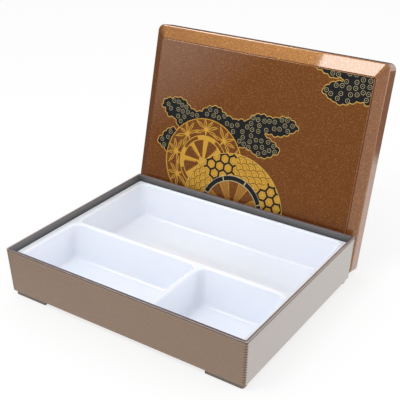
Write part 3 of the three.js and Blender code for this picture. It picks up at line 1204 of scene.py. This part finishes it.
# The fainter hexagon's width, as a share of the other's, and twice its line
FAINT_SHARE, FAINT_LINE = 0.5, 0.35
WAVE_AT = (4.5, 40.5)
WAVE_RADIUS = 6.7
WAVE_RISE = 4.05
WAVE_ROWS, WAVE_COLUMNS = range(-3, 7), range(-3, 3)
# A scale's two arcs: the share of its radius, the width of the line, and the direction where it begins
WAVE_ARCS = ((1, 0.7, 28), (0.6, 0.3, 36))
# The gaps round a pattern: at the rim's inner and outer edge, and at each end in degrees
PATTERN_INNER, PATTERN_OUTER, PATTERN_END = 0.2, 0.6, 0.4
# The quarter that is left out, the wheel's lowest, lies past the panel's lower edge
SHOWN_QUARTERS = (0, 1, 3)


def hexagon(centre, across):
    """A hexagon standing on a corner, by its width across flats."""
    return [polar(centre, across / math.sqrt(3), 30 + 60 * corner) for corner in range(6)]


def hexagons():
    """Hexagon cells for the eighth of the rim left of the top, each with a fainter one in it."""
    loops = []
    for row in HEXAGON_ROWS:
        for column in HEXAGON_COLUMNS:
            u = HEXAGON_AT[0] + (column + row % 2 / 2) * HEXAGON_PITCH
            v = HEXAGON_AT[1] + row * HEXAGON_PITCH * math.sqrt(3) / 2
            outer = HEXAGON_PITCH - HEXAGON_GAP
            faint = outer * FAINT_SHARE
            for across in (outer, outer - HEXAGON_LINE, faint, faint - FAINT_LINE):
                loops.append(hexagon((u, v), across))
    return loops


def waves(wheel):
    """Overlapping wave scales on the eighth of the rim right of the top, upright at that eighth's middle."""
    loops = []
    for row in WAVE_ROWS:
        for column in WAVE_COLUMNS:
            u = wheel.u + WAVE_AT[0] + (column + row % 2 / 2) * 2 * WAVE_RADIUS
            v = wheel.v + WAVE_AT[1] + row * WAVE_RISE
            for share, width, start in WAVE_ARCS:
                radius = WAVE_RADIUS * share
                loops.append(band((u, v), radius - width / 2, radius + width / 2, start, 180 - start, 8))
    return spin(loops, wheel, FRONT_FIRST + 1.5 * EIGHTH - 90)


def rim_eighth(wheel, start):
    """An eighth of the rim, from a direction on, with a thin gap all round."""
    inner, outer = RIM_INNER + PATTERN_INNER, wheel.radius - PATTERN_OUTER
    return band(wheel, inner, outer, start + PATTERN_END, start + EIGHTH - PATTERN_END, 24)


def rings(wheel, *radii):
    """Circles about the wheel's hub, which are filled by turns."""
    return [circle(wheel, radius, 160) for radius in radii]


def model_front_wheel(lid, sizes, inks):
    """Prints the front wheel: the rim and its patterns, the black ring between pale lines, and the spokes."""
    wheel = front_wheel(sizes)
    thick = sizes.film / MM
    piece = solid("bento_print_front_rim", rings(wheel, wheel.radius, RIM_INNER), 3 * thick)
    print_on_lid(piece, 1, lid, sizes, inks.gold)
    piece = solid("bento_print_black_ring", rings(wheel, RIM_INNER, RING_INNER), thick)
    print_on_lid(piece, 1, lid, sizes, inks.black)
    radii = (RIM_INNER + RING_LINE, RIM_INNER, RING_INNER, RING_INNER - RING_LINE)
    piece = solid("bento_print_ring_edges", rings(wheel, *radii), thick)
    print_on_lid(piece, 3, lid, sizes, inks.pale)
    piece = solid("bento_print_front_border", rings(wheel, wheel.radius, wheel.radius - BORDER), thick)
    print_on_lid(piece, 3, lid, sizes, inks.light)
    for quarter in SHOWN_QUARTERS:
        turned = 90 * quarter
        piece = solid(f"bento_print_tortoiseshell_{quarter}", spin(hexagons(), wheel, turned), thick)
        cut(piece, "INTERSECT", [rim_eighth(wheel, FRONT_FIRST + 2 * EIGHTH + turned)])
        print_on_lid(piece, 3, lid, sizes, inks.black)
        piece = solid(f"bento_print_waves_{quarter}", spin(waves(wheel), wheel, turned), thick)
        cut(piece, "INTERSECT", [rim_eighth(wheel, FRONT_FIRST + EIGHTH + turned)])
        print_on_lid(piece, 3, lid, sizes, inks.brown)
    spokes, lines, ticks = [], [], []
    for spoke in range(SPOKES):
        at = FRONT_SPOKE + spoke * EIGHTH
        first, last = at - FRONT_SPOKE_HALF, at + FRONT_SPOKE_HALF
        spokes.append(band(wheel, SPOKE_FROM, RING_INNER - SPOKE_GAP, first, last, 8))
        for edge in (at - SPOKE_LINE, at + SPOKE_LINE):
            first, last = edge - SPOKE_LINE_HALF, edge + SPOKE_LINE_HALF
            lines.append(band(wheel, LINE_FROM, RING_INNER - LINE_GAP, first, last, 2))
        inner, outer = RING_INNER + TICK_GAP, RIM_INNER - TICK_GAP
        ticks.append(band(wheel, inner, outer, at - TICK_HALF, at + TICK_HALF, 2))
    spokes.append(circle(wheel, FRONT_HUB, 48))
    lines += [circle(wheel, radius, 48) for radius in HUB_LINES]
    piece = solid("bento_print_front_spokes", spokes, thick)
    print_on_lid(piece, 0, lid, sizes, inks.dull)
    piece = solid("bento_print_front_lines", lines, thick)
    print_on_lid(piece, 1, lid, sizes, inks.gold)
    piece = solid("bento_print_ring_ticks", ticks, thick)
    print_on_lid(piece, 2, lid, sizes, inks.pale)


# Stage: the floor reaches far behind the lid, so that its edge doesn't show, and lies just under the feet
FLOOR_SIDE = 8
FLOOR_AT = (0, 3.1, -0.2 * MM)
LIT_POINT = Vector((0, 0, 60 * MM))
# Where each soft box stands, and the length of its sides
OVERHEAD_AT, OVERHEAD_SIDE = (-0.75, -0.35, 1.3), 0.45
RIGHT_AT, RIGHT_SIDE = (1.3, 0.4, 0.2), 0.8
KEY_AT, KEY_SIDE = (-0.17, -0.5, 0.92), 0.32


def model_stage(stage):
    """Sets up the floor, the room, the soft boxes and the camera."""
    bpy.context.scene.view_settings.view_transform = "Standard"
    bpy.ops.object.select_all(action="DESELECT")
    bpy.ops.mesh.primitive_plane_add(size=FLOOR_SIDE, location=FLOOR_AT)
    floor = bpy.context.object
    floor.name = "floor"
    bpy.ops.object.transform_apply(location=True, rotation=False, scale=False)
    floor.data.materials.append(floor_material(stage.floor))
    bpy.context.scene.world = studio_world(stage)
    overhead = add_soft_box("overhead_soft_box", OVERHEAD_AT, OVERHEAD_SIDE, stage.overhead)
    # It only gives glossy surfaces their highlights
    overhead.visible_diffuse = False
    add_soft_box("right_soft_box", RIGHT_AT, RIGHT_SIDE, stage.right)
    add_soft_box("key_soft_box", KEY_AT, KEY_SIDE, stage.key)
    add_camera(stage)


# Each dark side of the room, which the lacquer mirrors: its heading, the cosines from that heading at which
# the dark begins and is full, and how bright it still is
DARK_SIDES = (
    ((-0.49, -0.87, -0.1), 0.42, 0.86, 0.1),
    ((-0.97, -0.24, 0), 0.75, 0.95, 0.15),
    ((-0.41, 0.87, 0.27), 0.88, 0.97, 0.15),
)
# A pale card on the far left: its heading, and the cosines from there at which it begins and is full
CARD_HEADING = (-0.66, -0.70, 0.27)
CARD_BEGINS, CARD_FULL = 0.953, 0.977
# Where the even light is dimmest: the heading, the cosines from it between which the light fades, and the
# shares of its strength far from that heading and on it
DIM_HEADING = (0.5, 0, 0.87)
DIM_BEGINS, DIM_FULL = 0.1, 1.0
BRIGHT_SHARE, DIM_SHARE = 1.15, 0.68


def studio_world(stage):
    """White paper all round, with a few dark sides and a pale card for the lacquer to mirror."""
    world = bpy.data.worlds.new("studio")
    world.use_nodes = True
    world.node_tree.nodes.clear()
    path = add_node(world, "ShaderNodeLightPath")
    heading = add_node(world, "ShaderNodeTexCoord").outputs["Generated"]
    shades = []
    for towards, begins, full, least in DARK_SIDES:
        side = add_node(world, "ShaderNodeVectorMath", {1: towards}, {0: heading}, operation="DOT_PRODUCT")
        shade = add_node(
            world,
            "ShaderNodeMapRange",
            {"From Min": begins, "From Max": full, "To Min": 1.0, "To Max": least},
            {"Value": side.outputs["Value"]},
        )
        shades.append(shade.outputs["Result"])
    around = shades[0]
    for shade in shades[1:]:
        darker = add_node(world, "ShaderNodeMath", links={0: around, 1: shade}, operation="MINIMUM")
        around = darker.outputs["Value"]
    # The card shows as a haze at the panel's upper left
    beside = add_node(
        world, "ShaderNodeVectorMath", {1: CARD_HEADING}, {0: heading}, operation="DOT_PRODUCT"
    )
    card = add_node(
        world,
        "ShaderNodeMapRange",
        {"From Min": CARD_BEGINS, "From Max": CARD_FULL},
        {"Value": beside.outputs["Value"]},
    )
    mirror = add_node(
        world, "ShaderNodeMath", links={0: around, 1: card.outputs["Result"]}, operation="MAXIMUM"
    )
    paper = add_node(
        world,
        "ShaderNodeMath",
        links={0: path.outputs["Is Camera Ray"], 1: path.outputs["Is Transmission Ray"]},
        operation="MAXIMUM",
    )
    # The ceiling and the right side are dimmer than the walls at the front and on the left
    dimmer = add_node(world, "ShaderNodeVectorMath", {1: DIM_HEADING}, {0: heading}, operation="DOT_PRODUCT")
    bright, dim = stage.ambient * BRIGHT_SHARE, stage.ambient * DIM_SHARE
    even = add_node(
        world,
        "ShaderNodeMapRange",
        {"From Min": DIM_BEGINS, "From Max": DIM_FULL, "To Min": bright, "To Max": dim},
        {"Value": dimmer.outputs["Value"]},
    )
    mirrored = add_node(
        world,
        "ShaderNodeMix",
        links={0: path.outputs["Is Glossy Ray"], 2: even.outputs["Result"], 3: mirror.outputs["Value"]},
    )
    strength = add_node(
        world, "ShaderNodeMix", {3: 1.0}, {0: paper.outputs["Value"], 2: mirrored.outputs[0]}
    )
    sky = add_node(
        world, "ShaderNodeBackground", {"Color": (1, 1, 1, 1)}, {"Strength": strength.outputs[0]}
    )
    add_node(world, "ShaderNodeOutputWorld", links={"Surface": sky.outputs["Background"]})
    return world


def add_soft_box(name, at, side, power):
    """A square soft box that faces the object and doesn't show itself to the camera."""
    bpy.ops.object.light_add(type="AREA", location=at)
    lamp = bpy.context.object
    lamp.name = name
    lamp.rotation_euler = (LIT_POINT - Vector(at)).to_track_quat("-Z", "Y").to_euler()
    lamp.data.shape = "SQUARE"
    lamp.data.size = side
    lamp.data.energy = power
    lamp.visible_camera = False
    return lamp


def seen_directly(owner):
    """One for rays from the camera, a mirror or glass, and nought for the rest."""
    path = add_node(owner, "ShaderNodeLightPath")
    first = add_node(
        owner,
        "ShaderNodeMath",
        links={0: path.outputs["Is Camera Ray"], 1: path.outputs["Is Glossy Ray"]},
        operation="MAXIMUM",
    )
    both = add_node(
        owner,
        "ShaderNodeMath",
        links={0: first.outputs["Value"], 1: path.outputs["Is Transmission Ray"]},
        operation="MAXIMUM",
    )
    return both.outputs["Value"]


# What the lacquer mirrors of the floor: where it fades to the dark room on the left, the middle of the dark
# strip behind the lid, the distances from that middle between which the strip fades, and how bright the
# left and the strip still are
LEFT_DARK, LEFT_PALE = -0.26, -0.18
STRIP_MIDDLE = 0.63
STRIP_DARK, STRIP_PALE = 0.22, 0.27
LEFT_LEAST, STRIP_LEAST = 0.1, 0.15
# How much of the floor that is seen glows as white paper; the rest takes the shadow
FLOOR_GLOW = 0.75


def floor_material(shade):
    """Matt white sweep: reads as white paper to the camera, and still takes a faint shadow."""
    material = new_material("white_paper_sweep")
    paper = add_node(material, "ShaderNodeBsdfDiffuse", {"Color": rgba(shade)})
    place_at = add_node(material, "ShaderNodeTexCoord").outputs["Object"]
    at = add_node(material, "ShaderNodeSeparateXYZ", links={"Vector": place_at})
    left = add_node(
        material,
        "ShaderNodeMapRange",
        {"From Min": LEFT_DARK, "From Max": LEFT_PALE, "To Min": LEFT_LEAST, "To Max": 1.0},
        {"Value": at.outputs["X"]},
    )
    behind = add_node(
        material, "ShaderNodeMath", {1: STRIP_MIDDLE}, {0: at.outputs["Y"]}, operation="SUBTRACT"
    )
    off = add_node(material, "ShaderNodeMath", links={0: behind.outputs["Value"]}, operation="ABSOLUTE")
    strip = add_node(
        material,
        "ShaderNodeMapRange",
        {"From Min": STRIP_DARK, "From Max": STRIP_PALE, "To Min": STRIP_LEAST, "To Max": 1.0},
        {"Value": off.outputs["Value"]},
    )
    mirrored = add_node(
        material,
        "ShaderNodeMath",
        links={0: left.outputs["Result"], 1: strip.outputs["Result"]},
        operation="MINIMUM",
    )
    glossy = add_node(material, "ShaderNodeLightPath").outputs["Is Glossy Ray"]
    strength = add_node(material, "ShaderNodeMix", {2: 1.0}, {0: glossy, 3: mirrored.outputs["Value"]})
    glow = add_node(
        material, "ShaderNodeEmission", {"Color": (1, 1, 1, 1)}, {"Strength": strength.outputs[0]}
    )
    seen = add_node(
        material, "ShaderNodeMath", {1: FLOOR_GLOW}, {0: seen_directly(material)}, operation="MULTIPLY"
    )
    share = add_node(
        material, "ShaderNodeMath", links={0: seen.outputs["Value"], 1: glossy}, operation="MAXIMUM"
    )
    mix = add_node(
        material,
        "ShaderNodeMixShader",
        links={0: share.outputs["Value"], 1: paper.outputs["BSDF"], 2: glow.outputs["Emission"]},
    )
    return surface(material, mix)


def add_camera(stage):
    """The camera, as fitted to the photograph: it looks at the aim from a distance, tilted and rolled."""
    level = math.cos(stage.elevation)
    ahead = Vector(
        (level * math.sin(stage.azimuth), level * math.cos(stage.azimuth), math.sin(stage.elevation))
    )
    right = ahead.cross(Vector((0, 0, 1))).normalized()
    down = ahead.cross(right)
    right = right * math.cos(stage.roll) + down * math.sin(stage.roll)
    up = right.cross(ahead)
    data = bpy.data.cameras.new("photo_camera")
    data.sensor_width = 36
    data.lens = stage.focal
    camera = bpy.data.objects.new("photo_camera", data)
    bpy.context.scene.collection.objects.link(camera)
    turned = Matrix((right, up, -ahead)).transposed().to_4x4()
    camera.matrix_world = Matrix.Translation(Vector(stage.aim) - ahead * stage.distance) @ turned
    bpy.context.scene.camera = camera


class BENTO_OT_case(bpy.types.Operator):
    """Models the ribbed case with its rim and grey inside"""

    bl_idname = "bento.case"
    bl_label = "Case"

    def execute(self, context):
        model_case(context.scene.bento_case)
        return {"FINISHED"}


class BENTO_OT_feet(bpy.types.Operator):
    """Models the four corner feet"""

    bl_idname = "bento.feet"
    bl_label = "Feet"

    def execute(self, context):
        sizes = context.scene.bento_case
        material = dull_bronze("bronze_ABS_painted_darker_as_shade", sizes.foot)
        for node in FEET:
            model_foot(node, sizes, material)
        return {"FINISHED"}


class BENTO_OT_tray(bpy.types.Operator):
    """Models the tray with its three compartments"""

    bl_idname = "bento.tray"
    bl_label = "Tray"

    def execute(self, context):
        model_tray(context.scene.bento_tray)
        return {"FINISHED"}


class BENTO_OT_lid(bpy.types.Operator):
    """Models the lid with its sloped border and raised panel"""

    bl_idname = "bento.lid"
    bl_label = "Lid"

    def execute(self, context):
        model_lid(context.scene.bento_lid)
        return {"FINISHED"}


class BENTO_OT_ornament(bpy.types.Operator):
    """Prints the clouds and the two wheels on the lid"""

    bl_idname = "bento.ornament"
    bl_label = "Ornament"

    def execute(self, context):
        lid, sizes = context.scene.bento_lid, context.scene.bento_print
        inks = mix_inks(sizes)
        model_clouds(lid, sizes, inks)
        model_back_wheel(lid, sizes, inks)
        model_front_wheel(lid, sizes, inks)
        return {"FINISHED"}


class BENTO_OT_stage(bpy.types.Operator):
    """Sets up the floor, the light and the camera"""

    bl_idname = "bento.stage"
    bl_label = "Stage"

    def execute(self, context):
        model_stage(context.scene.bento_stage)
        return {"FINISHED"}


OPERATORS = (
    BENTO_OT_case,
    BENTO_OT_feet,
    BENTO_OT_tray,
    BENTO_OT_lid,
    BENTO_OT_ornament,
    BENTO_OT_stage,
)


class BENTO_PT_sidebar(bpy.types.Panel):
    """Lists the pieces of the bento box in the 3D view's sidebar"""

    bl_idname = "BENTO_PT_sidebar"
    bl_label = "Bento Box"
    bl_space_type = "VIEW_3D"
    bl_region_type = "UI"
    bl_category = "Bento"

    def draw(self, context):
        for operator in OPERATORS:
            self.layout.operator(operator.bl_idname)


SETTINGS = {
    "bento_case": BentoCaseSettings,
    "bento_tray": BentoTraySettings,
    "bento_lid": BentoLidSettings,
    "bento_print": BentoPrintSettings,
    "bento_stage": BentoStageSettings,
}
CLASSES = (*SETTINGS.values(), *OPERATORS, BENTO_PT_sidebar)


def register():
    """Adds the settings, the operators and the panel to Blender."""
    for item in CLASSES:
        bpy.utils.register_class(item)
    for name, group in SETTINGS.items():
        setattr(bpy.types.Scene, name, PointerProperty(type=group))


def unregister():
    """Takes them out again."""
    for name in SETTINGS:
        delattr(bpy.types.Scene, name)
    for item in reversed(CLASSES):
        bpy.utils.unregister_class(item)


def main():
    """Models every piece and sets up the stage."""
    register()
    bpy.ops.bento.case()
    bpy.ops.bento.feet()
    bpy.ops.bento.tray()
    bpy.ops.bento.lid()
    bpy.ops.bento.ornament()
    bpy.ops.bento.stage()


if __name__ == "__main__":
    main()
